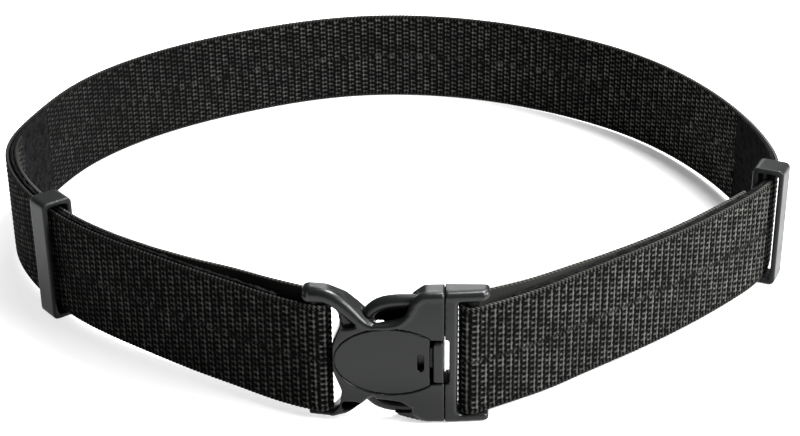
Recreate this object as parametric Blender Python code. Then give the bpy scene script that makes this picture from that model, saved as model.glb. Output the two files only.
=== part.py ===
"""Duty belt: a 2 inch nylon web strap closed by a moulded side-release buckle, with two slides.

The belt stands on its lower edge. X is to the wearer's front right as seen in front of the belt,
Y goes from the buckle to the back of the belt, and Z is up. All sizes are in metres.
"""
import math
from collections import namedtuple

import bmesh
import bpy
import numpy as np
from mathutils import Matrix, Vector

MM = 0.001

# Strap
WEB_WIDTH = 50.8 * MM
WEB_THICK = 2.0 * MM
WEB_EDGE_ROUND = 0.6 * MM
STEP_ALONG = 10.0 * MM
GAP = 0.3 * MM

# Where the middle of the outer strap runs, seen from above, in mm from the belt's middle,
# from the left bar round the back to the right bar
Station = namedtuple("Station", "place x y")
BELT_PLAN = tuple(
    Station(*row)
    for row in (
        ("left front", -45.7, -165.8),
        ("left front", -63.5, -153.8),
        ("left front", -81.9, -141.1),
        ("left front", -111.2, -119.3),
        ("left front", -141.3, -93.7),
        ("left keeper", -157.6, -74.7),
        ("left bend", -170.9, -54.3),
        ("left bend", -181.2, -32.0),
        ("left side", -187.1, -3.7),
        ("left side", -181.1, 34.0),
        ("back left", -166.7, 76.0),
        ("back left", -129.7, 123.6),
        ("back left", -80.1, 157.6),
        ("back", -24.1, 178.4),
        ("back", 36.0, 175.8),
        ("back right", 90.4, 151.6),
        ("back right", 135.7, 112.8),
        ("right side", 164.7, 66.2),
        ("right side", 179.5, 23.6),
        ("right side", 185.5, -11.0),
        ("right bend", 185.2, -36.3),
        ("right keeper", 177.7, -57.0),
        ("right front", 163.6, -74.8),
        ("right front", 142.3, -96.2),
        ("right front", 100.8, -131.4),
        ("right front", 81.8, -146.1),
        ("right front", 63.4, -160.4),
    )
)

# Tails and pile panels, measured along the strap from the bars
TAIL_LEFT = 250.0 * MM
TAIL_RIGHT = 170.0 * MM
PANEL_LEFT = (20.0 * MM, 285.0 * MM)
PANEL_RIGHT = (20.0 * MM, 270.0 * MM)
PANEL_THICK = 1.6 * MM
PANEL_WIDTH = 50.2 * MM
STACK_PITCH = WEB_THICK + PANEL_THICK + 2 * GAP

# How far the middle of each tail is from the strap's middle, in mm: the stiff web opens past the bar,
# then lies on the pile
TailRow = namedtuple("TailRow", "distance left right")
TAIL_OPENING = tuple(
    TailRow(*row)
    for row in (
        (0.0, 8.6, 8.6),
        (6.0, 11.8, 10.4),
        (12.0, 12.6, 10.8),
        (20.0, 12.2, 10.0),
        (30.0, 11.4, 9.0),
        (50.0, 9.9, 7.2),
        (70.0, 7.1, 5.5),
        (90.0, 5.1, 4.7),
        (110.0, STACK_PITCH / MM, STACK_PITCH / MM),
    )
)

# The strap's lower edge is on the floor at the back and climbs towards the buckle
EDGE_RISE = 4.4 * MM

# Buckle, in its own upright plane: U to the right, W up from its middle, D into the belt
BUCKLE_AT = Vector((5.2, -177.4, 31.0)) * MM
BUCKLE_TURN = math.radians(-2.8)
BUCKLE_DEPTH = 10.5 * MM
BUCKLE_CROWN = 3.0 * MM
BUCKLE_SWEEP = 3.6 * MM
ARM_TIP_U = -40.9 * MM
BUCKLE_HALF_HEIGHT = 31.0 * MM
MOULD_ROUND = 1.6 * MM
CROWN_STRIPS = 5
SWEEP_STRIPS = 4
BAR_RADIUS = 3.0 * MM
BAR_DEPTH = 6.1 * MM
BAR_REACH = 28.0 * MM
LEFT_BAR_U = -34.3 * MM
RIGHT_BAR_U = 28.9 * MM
FOLD_RADIUS = BAR_RADIUS + GAP + WEB_THICK / 2
WEB_LEAVES_LEFT_BAR = math.radians(22.0)
WEB_LEAVES_RIGHT_BAR = math.radians(31.0)
PARTING_U = 17.75 * MM
PARTING_GAP = 0.3 * MM

# The frames' outlines: corners in mm, with the radius of each corner. The web sits a little low in the
# socket half, so its upper arm is the thicker one.
Corner = namedtuple("Corner", "u w radius")
FEMALE_BODY_OUTLINE = tuple(
    Corner(*row)
    for row in (
        (24.0, 31.0, 2.3),
        (9.0, 30.6, 5.0),
        (4.0, 26.6, 2.4),
        (3.4, 20.8, 2.5),
        (-3.0, 18.5, 5.0),
        (-11.0, 17.0, 2.5),
        (-14.0, 18.9, 3.0),
        (-17.6, 22.6, 6.0),
        (-22.6, 27.0, 8.0),
    )
)
UPPER_ARM_OUTLINE = tuple(
    Corner(*row)
    for row in (
        (-31.0, 30.6, 10.0),
        (-40.9, 31.0, 3.0),
        (-40.9, 24.7, 3.0),
        (-30.0, 24.7, 1.5),
        (-26.6, 23.0, 3.0),
        (-25.0, 16.0, 6.0),
        (-28.6, 6.0, 6.0),
    )
)
LOWER_ARM_OUTLINE = tuple(
    Corner(*row)
    for row in (
        (-28.6, -6.0, 6.0),
        (-25.0, -16.0, 6.0),
        (-26.2, -23.6, 3.0),
        (-29.0, -27.0, 1.0),
        (-39.4, -27.0, 1.6),
        (-39.4, -30.4, 1.6),
        (-31.0, -30.4, 10.0),
    )
)
MALE_UPPER_OUTLINE = tuple(
    Corner(*row)
    for row in (
        (12.0, 31.0, 2.3),
        (36.2, 31.0, 2.0),
        (36.2, 27.0, 2.0),
        (23.1, 27.0, 2.2),
    )
)
# Middle line of a prong, from inside the male frame to its tip behind the arm
Knot = namedtuple("Knot", "u w")
PRONG_LINE = tuple(
    Knot(*row)
    for row in (
        (21.0, 25.1),
        (12.0, 25.1),
        (4.0, 25.2),
        (-3.0, 25.0),
        (-8.2, 23.9),
        (-11.8, 21.6),
        (-14.2, 18.6),
    )
)
PRONG_HIGH = 5.4 * MM
PRONG_DEEP = 5.4 * MM
PRONG_DEPTH = 5.6 * MM
PRONG_CLEAR = 0.35 * MM

# Oval cover and its recess
OVAL_U = -4.7 * MM
OVAL_HALF_LENGTH = 23.3 * MM
OVAL_HALF_HEIGHT = 15.6 * MM
OVAL_SIDES = 40
RECESS_DEPTH = 1.5 * MM
COVER_SUNK = 0.25 * MM
SLIT_U = 7.9 * MM
SLIT_WIDE = 2.8 * MM
SLIT_TALL = 8.4 * MM
SLIT_BACK = 3.7 * MM

# Button, its notch, and the lever under the cover
NOTCH_LEFT_U = 11.8 * MM
NOTCH_RIGHT_U = 19.6 * MM
NOTCH_HALF_HEIGHT = 10.4 * MM
COVER_RIGHT_U = NOTCH_LEFT_U - 0.1 * MM
RECESS_RIGHT_U = NOTCH_LEFT_U + 0.2 * MM
BUTTON_LEFT_U = 13.2 * MM
BUTTON_RIGHT_U = 17.3 * MM
BUTTON_HALF_HEIGHT = 9.2 * MM
BUTTON_PROUD = 0.5 * MM
BUTTON_FOOT = 4.2 * MM
BUTTON_ROUND = 0.5 * MM
BUTTON_CORNER = 0.8
LEVER_PIVOT_U = 0.0 * MM
LEVER_PIVOT_D = 4.2 * MM
LEVER_PIVOT_RADIUS = 1.2 * MM
LEVER_HALF_HEIGHT = 5.0 * MM
LEVER_THICK = 1.2 * MM
CAVITY_LEFT_U = -1.6 * MM
CAVITY_FRONT = 2.7 * MM
CAVITY_BACK = 8.3 * MM

# Small moulded pockets beside the arms
ARM_POCKET = tuple(
    Corner(*row)
    for row in (
        (-25.6, 22.6, 0.6),
        (-18.4, 21.6, 0.6),
        (-15.6, 17.4, 0.6),
        (-22.0, 17.0, 0.6),
    )
)
ARM_POCKET_DEPTH = 1.6 * MM

# Slides: the hole is off the strap's middle, with more room outside
KEEPER_HEIGHT = 59.5 * MM
KEEPER_DEPTH = 14.8 * MM
KEEPER_WALL = 2.5 * MM
KEEPER_OUTSIDE = 6.4 * MM
KEEPER_ROUND = 2.4 * MM
KEEPER_HOLE_ROUND = 1.0 * MM
KEEPER_EDGE = 0.5 * MM
Slide = namedtuple("Slide", "name place long")
KEEPERS = tuple(
    Slide(*row)
    for row in (
        ("keeper_left", 156.5 * MM, 12.6 * MM),
        ("keeper_right", 862.0 * MM, 12.6 * MM),
    )
)

# Colours, linear, with roughness
MATERIALS = {
    "black_nylon_web": ((0.012, 0.012, 0.013), 0.75),
    "black_pile": ((0.010, 0.010, 0.012), 0.95),
    "moulded_acetal": ((0.045, 0.047, 0.046), 0.38),
    "button_acetal": ((0.060, 0.062, 0.060), 0.42),
}


def start_clean():
    """Empties the scene and makes the two collections."""
    for old in list(bpy.data.objects):
        bpy.data.objects.remove(old, do_unlink=True)
    made = []
    for name in ("duty_belt", "cutters"):
        collection = bpy.data.collections.new(name)
        bpy.context.scene.collection.children.link(collection)
        made.append(collection)
    return made


def material(name):
    """The named plastic or nylon, made once."""
    if name in bpy.data.materials:
        return bpy.data.materials[name]
    colour, roughness = MATERIALS[name]
    made = bpy.data.materials.new(name)
    made.use_nodes = True
    shader = made.node_tree.nodes["Principled BSDF"]
    shader.inputs["Base Color"].default_value = (*colour, 1.0)
    shader.inputs["Roughness"].default_value = roughness
    shader.inputs["Metallic"].default_value = 0.0
    made.diffuse_color = (*colour, 1.0)
    return made


def put(name, data, collection, finish=None):
    """A new object for the data, linked to the collection."""
    made = bpy.data.objects.new(name, data)
    collection.objects.link(made)
    if finish:
        data.materials.append(material(finish))
    return made


def as_mesh(source, name, collection, finish=None):
    """Replaces an object by its evaluated mesh, welded and in place, with faces outwards."""
    depsgraph = bpy.context.evaluated_depsgraph_get()
    depsgraph.update()
    mesh = bpy.data.meshes.new_from_object(source.evaluated_get(depsgraph))
    mesh.transform(source.matrix_world)
    mesh.materials.clear()
    shape = bmesh.new()
    shape.from_mesh(mesh)
    bmesh.ops.remove_doubles(shape, verts=shape.verts, dist=0.000005)
    bmesh.ops.recalc_face_normals(shape, faces=shape.faces)
    shape.to_mesh(mesh)
    shape.free()
    bpy.data.objects.remove(source, do_unlink=True)
    made = put(name, mesh, collection, finish)
    made.data.name = name
    return made


def hide_cutter(cutter):
    """Keeps a cutter out of the render and shows it as wires."""
    cutter.hide_render = True
    cutter.display_type = "WIRE"
    return cutter


def boolean(target, others, operation):
    """Cuts or joins the others into the target, for good."""
    for other in others:
        step = target.modifiers.new(other.name, "BOOLEAN")
        step.object = other
        step.operation = operation
        step.solver = "EXACT"
    finish = target.data.materials[0].name if target.data.materials else None
    name = target.name
    collection = target.users_collection[0]
    target.name = name + "_raw"
    return as_mesh(target, name, collection, finish)


def spline_through(stations, start_direction, end_direction, count):
    """Evenly spaced points, and normals into the waist, on a smooth curve through the stations."""
    points = np.array(stations, float)
    chord = np.hypot(*np.diff(points, axis=0).T)
    size = len(points)
    system = np.zeros((size, size))
    right = np.zeros((size, 2))
    system[0, 0] = system[-1, -1] = 1.0
    right[0] = start_direction
    right[-1] = end_direction
    for i in range(1, size - 1):
        before, after = chord[i - 1], chord[i]
        system[i, i - 1 : i + 2] = after, 2 * (before + after), before
        right[i] = 3 * (
            after * (points[i] - points[i - 1]) / before + before * (points[i + 1] - points[i]) / after
        )
    slopes = np.linalg.solve(system, right)
    dense = []
    for i in range(size - 1):
        for t in np.linspace(0.0, 1.0, 80, endpoint=i == size - 2):
            dense.append(
                (2 * t**3 - 3 * t**2 + 1) * points[i]
                + (t**3 - 2 * t**2 + t) * chord[i] * slopes[i]
                + (3 * t**2 - 2 * t**3) * points[i + 1]
                + (t**3 - t**2) * chord[i] * slopes[i + 1]
            )
    dense = np.array(dense)
    along = np.r_[0.0, np.cumsum(np.hypot(*np.diff(dense, axis=0).T))]
    marks = np.linspace(0.0, along[-1], count + 1)
    line = np.column_stack([np.interp(marks, along, dense[:, axis]) for axis in (0, 1)])
    heading = np.gradient(dense, along, axis=0)
    heading = np.column_stack([np.interp(marks, along, heading[:, axis]) for axis in (0, 1)])
    heading /= np.hypot(*heading.T)[:, None]
    inward = np.column_stack([heading[:, 1], -heading[:, 0]])
    return line, inward, along[-1]


def buckle_direction(angle):
    """A level direction that makes this angle with the buckle's U axis."""
    return np.array([math.cos(BUCKLE_TURN + angle), math.sin(BUCKLE_TURN + angle)])


def bar_middle(u):
    """Where a web bar stands, seen from above."""
    centre = BUCKLE_AT + Matrix.Rotation(BUCKLE_TURN, 3, "Z") @ Vector((u, BAR_DEPTH, 0.0))
    return np.array(centre.xy)


def outer_line():
    """The middle of the outer strap, from the left bar's front round the waist to the right bar's front."""
    leaves = buckle_direction(math.pi - WEB_LEAVES_LEFT_BAR)
    arrives = -buckle_direction(WEB_LEAVES_RIGHT_BAR)
    start = bar_middle(LEFT_BAR_U) - FOLD_RADIUS * np.array([leaves[1], -leaves[0]])
    end = bar_middle(RIGHT_BAR_U) - FOLD_RADIUS * np.array([arrives[1], -arrives[0]])
    stations = [start, *(np.array([row.x, row.y]) * MM for row in BELT_PLAN), end]
    length = spline_through(stations, leaves, arrives, 100)[2]
    return spline_through(stations, leaves, arrives, round(length / STEP_ALONG))


def tail_pitch(side):
    """Distance between the middles of strap and tail, as a function of the distance from the bar."""
    distances = [row.distance * MM for row in TAIL_OPENING]
    pitches = [getattr(row, side) * MM for row in TAIL_OPENING]
    return lambda distance: float(np.interp(distance, distances, pitches))


def beside(line, inward, rows, offset):
    """Points of the line moved into the waist by offset(distance from the bar)."""
    step = float(np.hypot(*(line[1] - line[0])))
    return [line[i] + inward[i] * offset(abs(rows[0] - i) * step) for i in rows]


def fold_arc(centre, start, side, steps=10):
    """Half a turn round a bar, from start through side, without its two ends."""
    turns = (math.pi * k / steps for k in range(1, steps))
    return [centre + FOLD_RADIUS * (math.cos(t) * start + math.sin(t) * side) for t in turns]


def edge_height(point):
    """How high the strap's lower edge is at a point seen from above."""
    front, back = BUCKLE_AT.y, max(row.y for row in BELT_PLAN) * MM
    return EDGE_RISE * min(max((back - point[1]) / (back - front), 0.0), 1.0)


def band(name, points, width, thickness, edge, collection, finish):
    """A flat band on its edge along points seen from above."""
    profile = bpy.data.curves.new(name + "_profile", "CURVE")
    profile.dimensions = "2D"
    half_w, half_t = width / 2, thickness / 2
    corners = (
        (half_t, half_w - edge),
        (half_t - edge, half_w),
        (edge - half_t, half_w),
        (-half_t, half_w - edge),
        (-half_t, edge - half_w),
        (edge - half_t, -half_w),
        (half_t - edge, -half_w),
        (half_t, edge - half_w),
    )
    if not edge:
        corners = ((half_t, half_w), (-half_t, half_w), (-half_t, -half_w), (half_t, -half_w))
    add_loop(profile, corners)
    section = put(name + "_profile", profile, collection)
    line = bpy.data.curves.new(name + "_line", "CURVE")
    line.dimensions = "3D"
    line.twist_mode = "Z_UP"
    line.bevel_mode = "OBJECT"
    line.bevel_object = section
    line.use_fill_caps = True
    route = line.splines.new("POLY")
    route.points.add(len(points) - 1)
    for knot, (x, y) in zip(route.points, points):
        knot.co = (x, y, edge_height((x, y)) + WEB_WIDTH / 2, 1.0)
    made = as_mesh(put(name + "_line", line, collection), name, collection, finish)
    bpy.data.objects.remove(section, do_unlink=True)
    return made


def add_loop(curve, corners):
    """Adds one closed outline to a flat curve."""
    loop = curve.splines.new("POLY")
    loop.points.add(len(corners) - 1)
    for knot, (a, b) in zip(loop.points, corners):
        knot.co = (a, b, 0.0, 1.0)
    loop.use_cyclic_u = True


def rounded(corners, segments=4):
    """An outline in metres whose corners, given in mm, are arcs of their own radius."""
    outline = []
    places = [Vector((corner.u, corner.w)) * MM for corner in corners]
    for i, corner in enumerate(corners):
        here, before, after = places[i], places[i - 1], places[(i + 1) % len(places)]
        to_before, to_after = (before - here).normalized(), (after - here).normalized()
        half_angle = to_before.angle(to_after) / 2
        longest = 0.48 * min((before - here).length, (after - here).length)
        reach = min(corner.radius * MM / math.tan(half_angle), longest)
        middle = here + (to_before + to_after).normalized() * reach / math.cos(half_angle)
        first, last = here + to_before * reach - middle, here + to_after * reach - middle
        sweep = first.angle_signed(last)
        for k in range(segments + 1):
            turn = Matrix.Rotation(-sweep * k / segments, 2)
            outline.append(tuple(middle + turn @ first))
    return outline


def below(corners):
    """The same corners below the buckle's middle, in the order that carries an outline on."""
    return tuple(Corner(each.u, -each.w, each.radius) for each in reversed(corners))


def plate(name, outlines, front, back, collection, finish=None, edge=0.0):
    """A flat plate in the buckle's plane between two depths, with rounded rims."""
    flat = bpy.data.curves.new(name, "CURVE")
    flat.dimensions = "2D"
    flat.fill_mode = "BOTH"
    flat.extrude = (back - front) / 2 - edge
    flat.bevel_depth = edge
    flat.bevel_resolution = 1
    flat.offset = -edge
    for outline in outlines:
        add_loop(flat, outline)
    made = put(name + "_flat", flat, collection)
    made.rotation_euler = (math.pi / 2, 0.0, 0.0)
    made.location = (0.0, (front + back) / 2, 0.0)
    bpy.context.view_layer.update()
    return as_mesh(made, name, collection, finish)


def box(name, low, high, collection, finish=None):
    """A box between two corners (U, D, W)."""
    bpy.ops.mesh.primitive_cube_add(size=1.0)
    made = bpy.context.object
    middle = (Vector(low) + Vector(high)) / 2
    made.data.transform(Matrix.Diagonal((*(Vector(high) - Vector(low)), 1.0)))
    made.data.transform(Matrix.Translation(middle))
    return as_mesh(made, name, collection, finish)


def upright_bar(name, u, d, radius, reach, collection, sides=12):
    """A round bar along W."""
    bpy.ops.mesh.primitive_cylinder_add(vertices=sides, radius=radius, depth=2 * reach, location=(u, d, 0.0))
    bpy.context.view_layer.update()
    return as_mesh(bpy.context.object, name, collection)


def prong(name, side, clear, collection):
    """The curved prong above (side 1) or below (side -1) the body, grown by clear all round."""
    profile = bpy.data.curves.new(name + "_profile", "CURVE")
    profile.dimensions = "2D"
    half_high, half_deep = PRONG_HIGH / 2 + clear, PRONG_DEEP / 2 + clear
    turns = (math.tau * (k + 0.5) / 12 for k in range(12))
    add_loop(profile, [(half_high * math.cos(t), half_deep * math.sin(t)) for t in turns])
    section = put(name + "_profile", profile, collection)
    line = bpy.data.curves.new(name, "CURVE")
    line.dimensions = "3D"
    line.twist_mode = "Z_UP"
    line.bevel_mode = "OBJECT"
    line.bevel_object = section
    line.use_fill_caps = True
    route = line.splines.new("POLY")
    knots = smooth_corners([Vector((row.u, side * row.w)) * MM for row in PRONG_LINE])
    if clear:
        knots[-1] += (knots[-1] - knots[-2]).normalized() * clear
    route.points.add(len(knots) - 1)
    for knot, place in zip(route.points, knots):
        knot.co = (place.x, place.y, 0.0, 1.0)
    made = put(name + "_line", line, collection)
    made.rotation_euler = (math.pi / 2, 0.0, 0.0)
    made.location = (0.0, PRONG_DEPTH, 0.0)
    bpy.context.view_layer.update()
    made = as_mesh(made, name, collection)
    bpy.data.objects.remove(section, do_unlink=True)
    return made


def smooth_corners(points):
    """A row of points with each inner corner cut once, so that a bent tube has no sharp turn."""
    eased = [points[0]]
    for a, b, c in zip(points, points[1:], points[2:]):
        eased.extend((b.lerp(a, 0.25), b.lerp(c, 0.25)))
    eased.append(points[-1])
    return eased


def oval(grow, right_limit):
    """The oval's outline grown by a margin and cut straight on the right."""
    outline = []
    for k in range(OVAL_SIDES):
        turn = math.tau * (k + 0.5) / OVAL_SIDES
        u = OVAL_U + (OVAL_HALF_LENGTH + grow) * math.cos(turn)
        w = (OVAL_HALF_HEIGHT + grow) * math.sin(turn)
        if u < right_limit:
            outline.append((u, w))
    cut = math.acos((right_limit - OVAL_U) / (OVAL_HALF_LENGTH + grow))
    corner = (OVAL_HALF_HEIGHT + grow) * math.sin(cut)
    return [(right_limit, corner), *outline, (right_limit, -corner)]


def slit():
    """The slit's outline, with round ends."""
    outline = []
    for end, start in ((1, 0.0), (-1, math.pi)):
        for k in range(5):
            turn = start + math.pi * k / 4
            u = SLIT_U + SLIT_WIDE / 2 * math.cos(turn)
            w = end * (SLIT_TALL - SLIT_WIDE) / 2 + SLIT_WIDE / 2 * math.sin(turn)
            outline.append((u, w))
    return outline


def crown(target):
    """Bows the front of a flat buckle piece out towards its middle height and back towards its ends."""
    shape = bmesh.new()
    shape.from_mesh(target.data)
    for facing, reach, strips in (("Z", BUCKLE_HALF_HEIGHT, CROWN_STRIPS), ("X", -ARM_TIP_U, SWEEP_STRIPS)):
        normal = Vector((facing == "X", 0.0, facing == "Z"))
        for k in range(1 - strips, strips):
            everything = [*shape.verts, *shape.edges, *shape.faces]
            place = normal * reach * k / strips
            bmesh.ops.bisect_plane(shape, geom=everything, dist=0.00002, plane_co=place, plane_no=normal)
    for vert in shape.verts:
        out = BUCKLE_CROWN * (1.0 - (vert.co.z / BUCKLE_HALF_HEIGHT) ** 2)
        back = BUCKLE_SWEEP * (vert.co.x / ARM_TIP_U) ** 2
        vert.co.y -= (out - back) * (1.0 - vert.co.y / BUCKLE_DEPTH)
    bmesh.ops.remove_doubles(shape, verts=shape.verts, dist=0.000002)
    bmesh.ops.dissolve_degenerate(shape, edges=shape.edges, dist=0.000002)
    bmesh.ops.triangulate(shape, faces=shape.faces)
    shape.to_mesh(target.data)
    shape.free()
    return target


def stand(target):
    """Stands a buckle piece in its place at the front of the belt."""
    target.data.transform(Matrix.Translation(BUCKLE_AT) @ Matrix.Rotation(BUCKLE_TURN, 4, "Z"))
    shade(target)


def shade(target):
    """Smooth shading with sharp edges where faces turn hard."""
    target.data.shade_smooth()
    target.data.set_sharp_from_angle(angle=math.radians(35))


def make_strap(belt, line, inward):
    """The whole web: left tail, left fold, waist, right fold, right tail."""
    last = len(line) - 1
    step = float(np.hypot(*(line[1] - line[0])))
    left_rows = list(range(0, round(TAIL_LEFT / step) + 1))
    right_rows = list(range(last, last - round(TAIL_RIGHT / step) - 1, -1))
    left_tail = beside(line, inward, left_rows, tail_pitch("left"))
    right_tail = beside(line, inward, right_rows, tail_pitch("right"))
    away_left = line[0] - line[1]
    away_right = line[last] - line[last - 1]
    left_side = away_left / np.hypot(*away_left)
    right_side = away_right / np.hypot(*away_right)
    route = [
        *reversed(left_tail),
        *fold_arc(line[0] + inward[0] * FOLD_RADIUS, inward[0], left_side),
        *line,
        *fold_arc(line[last] + inward[last] * FOLD_RADIUS, -inward[last], right_side),
        *right_tail,
    ]
    strap = band("web_strap", route, WEB_WIDTH, WEB_THICK, WEB_EDGE_ROUND, belt, "black_nylon_web")
    shade(strap)


def make_panels(belt, line, inward):
    """The pile panels on the inner face of the strap."""
    last = len(line) - 1
    step = float(np.hypot(*(line[1] - line[0])))
    offset = WEB_THICK / 2 + GAP + PANEL_THICK / 2
    for name, (start, end), first, way in (
        ("loop_panel_left", PANEL_LEFT, 0, 1),
        ("loop_panel_right", PANEL_RIGHT, last, -1),
    ):
        rows = [first + way * k for k in range(round(start / step), round(end / step) + 1)]
        points = beside(line, inward, rows, lambda distance: offset)
        band(name, points, PANEL_WIDTH, PANEL_THICK, 0.0, belt, "black_pile")


def make_female(belt, cutters):
    """The socket half: arms, left bar, oval recess, prong channels and the lever's hollow."""
    body = FEMALE_BODY_OUTLINE
    frame = plate(
        "female_frame",
        [rounded((*body, *UPPER_ARM_OUTLINE, *LOWER_ARM_OUTLINE, *below(body)))],
        0.0,
        BUCKLE_DEPTH,
        belt,
        "moulded_acetal",
        edge=MOULD_ROUND,
    )
    past = 5 * MM
    face = PARTING_U - PARTING_GAP / 2
    half = LEVER_HALF_HEIGHT + GAP
    cuts = [
        box("parting_cut", (face, -past, -40 * MM), (30 * MM, 20 * MM, 40 * MM), cutters),
        box(
            "button_well",
            (NOTCH_LEFT_U, -past, -NOTCH_HALF_HEIGHT),
            (face + past, CAVITY_BACK, NOTCH_HALF_HEIGHT),
            cutters,
        ),
        box("lever_hollow", (CAVITY_LEFT_U, CAVITY_FRONT, -half), (face, CAVITY_BACK, half), cutters),
        plate("oval_recess", [oval(0.0, RECESS_RIGHT_U)], -past, RECESS_DEPTH, cutters),
        plate("slit_cut", [slit()], -past, SLIT_BACK, cutters),
        prong("upper_channel", 1, PRONG_CLEAR, cutters),
        prong("lower_channel", -1, PRONG_CLEAR, cutters),
    ]
    for side in (1, -1):
        corners = tuple(Corner(each.u, side * each.w, each.radius) for each in ARM_POCKET)
        cuts.append(plate(f"arm_pocket_{side}", [rounded(corners, 2)], -past, ARM_POCKET_DEPTH, cutters))
    frame = crown(boolean(frame, [hide_cutter(cut) for cut in cuts], "DIFFERENCE"))
    bar = upright_bar("left_bar", LEFT_BAR_U, BAR_DEPTH, BAR_RADIUS, BAR_REACH, cutters)
    stand(boolean(frame, [hide_cutter(bar)], "UNION"))


def make_male(belt, cutters):
    """The plug half: rails, right bar, notch beside the button and the two prongs."""
    frame = plate(
        "male_frame",
        [rounded((*MALE_UPPER_OUTLINE, *below(MALE_UPPER_OUTLINE)))],
        0.0,
        BUCKLE_DEPTH,
        belt,
        "moulded_acetal",
        edge=MOULD_ROUND,
    )
    face = PARTING_U + PARTING_GAP / 2
    past = 5 * MM
    cuts = [
        box("male_parting_cut", (0.0, -past, -40 * MM), (face, 20 * MM, 40 * MM), cutters),
        box(
            "male_notch",
            (face - past, -past, -NOTCH_HALF_HEIGHT),
            (NOTCH_RIGHT_U, 20 * MM, NOTCH_HALF_HEIGHT),
            cutters,
        ),
    ]
    frame = boolean(frame, [hide_cutter(cut) for cut in cuts], "DIFFERENCE")
    prongs = [prong("upper_prong", 1, 0.0, cutters), prong("lower_prong", -1, 0.0, cutters)]
    frame = crown(boolean(frame, [hide_cutter(each) for each in prongs], "UNION"))
    bar = upright_bar("right_bar", RIGHT_BAR_U, BAR_DEPTH, BAR_RADIUS, BAR_REACH, cutters)
    stand(boolean(frame, [hide_cutter(bar)], "UNION"))


def make_cover(belt):
    """The oval plate in its recess."""
    outlines = [oval(-GAP, COVER_RIGHT_U), slit()]
    cover = plate("oval_cover", outlines, COVER_SUNK, RECESS_DEPTH - GAP, belt)
    cover.data.materials.append(material("moulded_acetal"))
    stand(crown(cover))


def make_button(belt, cutters):
    """The button's head, its lever and the lever's round root."""
    left, right, half = BUTTON_LEFT_U / MM, BUTTON_RIGHT_U / MM, BUTTON_HALF_HEIGHT / MM
    places = ((left, half), (right, half), (right, -half), (left, -half))
    corners = tuple(Corner(u, w, BUTTON_CORNER) for u, w in places)
    head = plate(
        "release_button",
        [rounded(corners, 2)],
        -BUTTON_PROUD,
        BUTTON_FOOT + LEVER_THICK,
        belt,
        "button_acetal",
        edge=BUTTON_ROUND,
    )
    lever = box(
        "lever",
        (LEVER_PIVOT_U, LEVER_PIVOT_D - LEVER_THICK / 2, -LEVER_HALF_HEIGHT + GAP),
        (BUTTON_LEFT_U + 1 * MM, LEVER_PIVOT_D + LEVER_THICK / 2, LEVER_HALF_HEIGHT - GAP),
        cutters,
    )
    root = upright_bar(
        "lever_root",
        LEVER_PIVOT_U,
        LEVER_PIVOT_D,
        LEVER_PIVOT_RADIUS,
        LEVER_HALF_HEIGHT,
        cutters,
    )
    button = boolean(head, [hide_cutter(lever), hide_cutter(root)], "UNION")
    stand(crown(button))


def ring_corners(outside, inside, bottom, top, radius):
    """The four corners of a slide's outline, in mm."""
    places = ((outside, bottom), (inside, bottom), (inside, top), (outside, top))
    return tuple(Corner(u / MM, w / MM, radius / MM) for u, w in places)


def make_keepers(belt, line, inward, length):
    """The two slides, square to the strap where they sit."""
    for slide in KEEPERS:
        share = slide.place / length * (len(line) - 1)
        at = np.array([np.interp(share, range(len(line)), line[:, axis]) for axis in (0, 1)])
        into = np.array([np.interp(share, range(len(line)), inward[:, axis]) for axis in (0, 1)])
        into /= np.hypot(*into)
        outside, inside = -KEEPER_OUTSIDE, KEEPER_DEPTH - KEEPER_OUTSIDE
        wall = KEEPER_WALL
        ring = ring_corners(outside, inside, 0.0, KEEPER_HEIGHT, KEEPER_ROUND)
        hole = ring_corners(outside + wall, inside - wall, wall, KEEPER_HEIGHT - wall, KEEPER_HOLE_ROUND)
        outlines = [rounded(ring, 4), rounded(hole, 2)]
        half = slide.long / 2
        keeper = plate(slide.name, outlines, -half, half, belt, "moulded_acetal", KEEPER_EDGE)
        across = Vector((into[0], into[1], 0.0))
        along = Vector((-into[1], into[0], 0.0))
        turn = Matrix((across, along, (0.0, 0.0, 1.0))).transposed().to_4x4()
        keeper.data.transform(Matrix.Translation((at[0], at[1], 0.0)) @ turn)
        shade(keeper)


def main():
    """Builds the belt."""
    belt, cutters = start_clean()
    line, inward, length = outer_line()
    make_strap(belt, line, inward)
    make_panels(belt, line, inward)
    make_female(belt, cutters)
    make_male(belt, cutters)
    make_cover(belt)
    make_button(belt, cutters)
    make_keepers(belt, line, inward, length)
    for spare in list(cutters.objects):
        bpy.data.objects.remove(spare, do_unlink=True)


main()
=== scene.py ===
"""Duty belt: the woven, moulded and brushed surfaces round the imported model.

The belt stands on its lower edge. X is to the right as seen in front of the belt, Y goes from the buckle
to the back, and Z is up. All sizes are in metres.
"""

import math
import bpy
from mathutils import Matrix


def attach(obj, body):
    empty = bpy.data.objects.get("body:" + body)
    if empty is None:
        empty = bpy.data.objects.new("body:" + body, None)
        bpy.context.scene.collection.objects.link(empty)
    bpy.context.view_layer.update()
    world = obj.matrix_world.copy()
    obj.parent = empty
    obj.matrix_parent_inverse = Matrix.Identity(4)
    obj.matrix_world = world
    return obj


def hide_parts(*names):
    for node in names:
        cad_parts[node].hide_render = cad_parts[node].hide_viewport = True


bl_info = {
    "name": "Duty Belt",
    "version": (1, 0, 0),
    "blender": (4, 5, 0),
    "location": "View3D > Sidebar > Duty Belt",
    "description": "Builds a closed web belt with a moulded buckle round its packed frame",
    "category": "Object",
}

from collections import namedtuple
from contextlib import contextmanager

import bmesh
import bpy
import numpy as np
from bpy.props import FloatProperty, FloatVectorProperty, IntProperty, PointerProperty
from mathutils import Matrix, Vector

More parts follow.
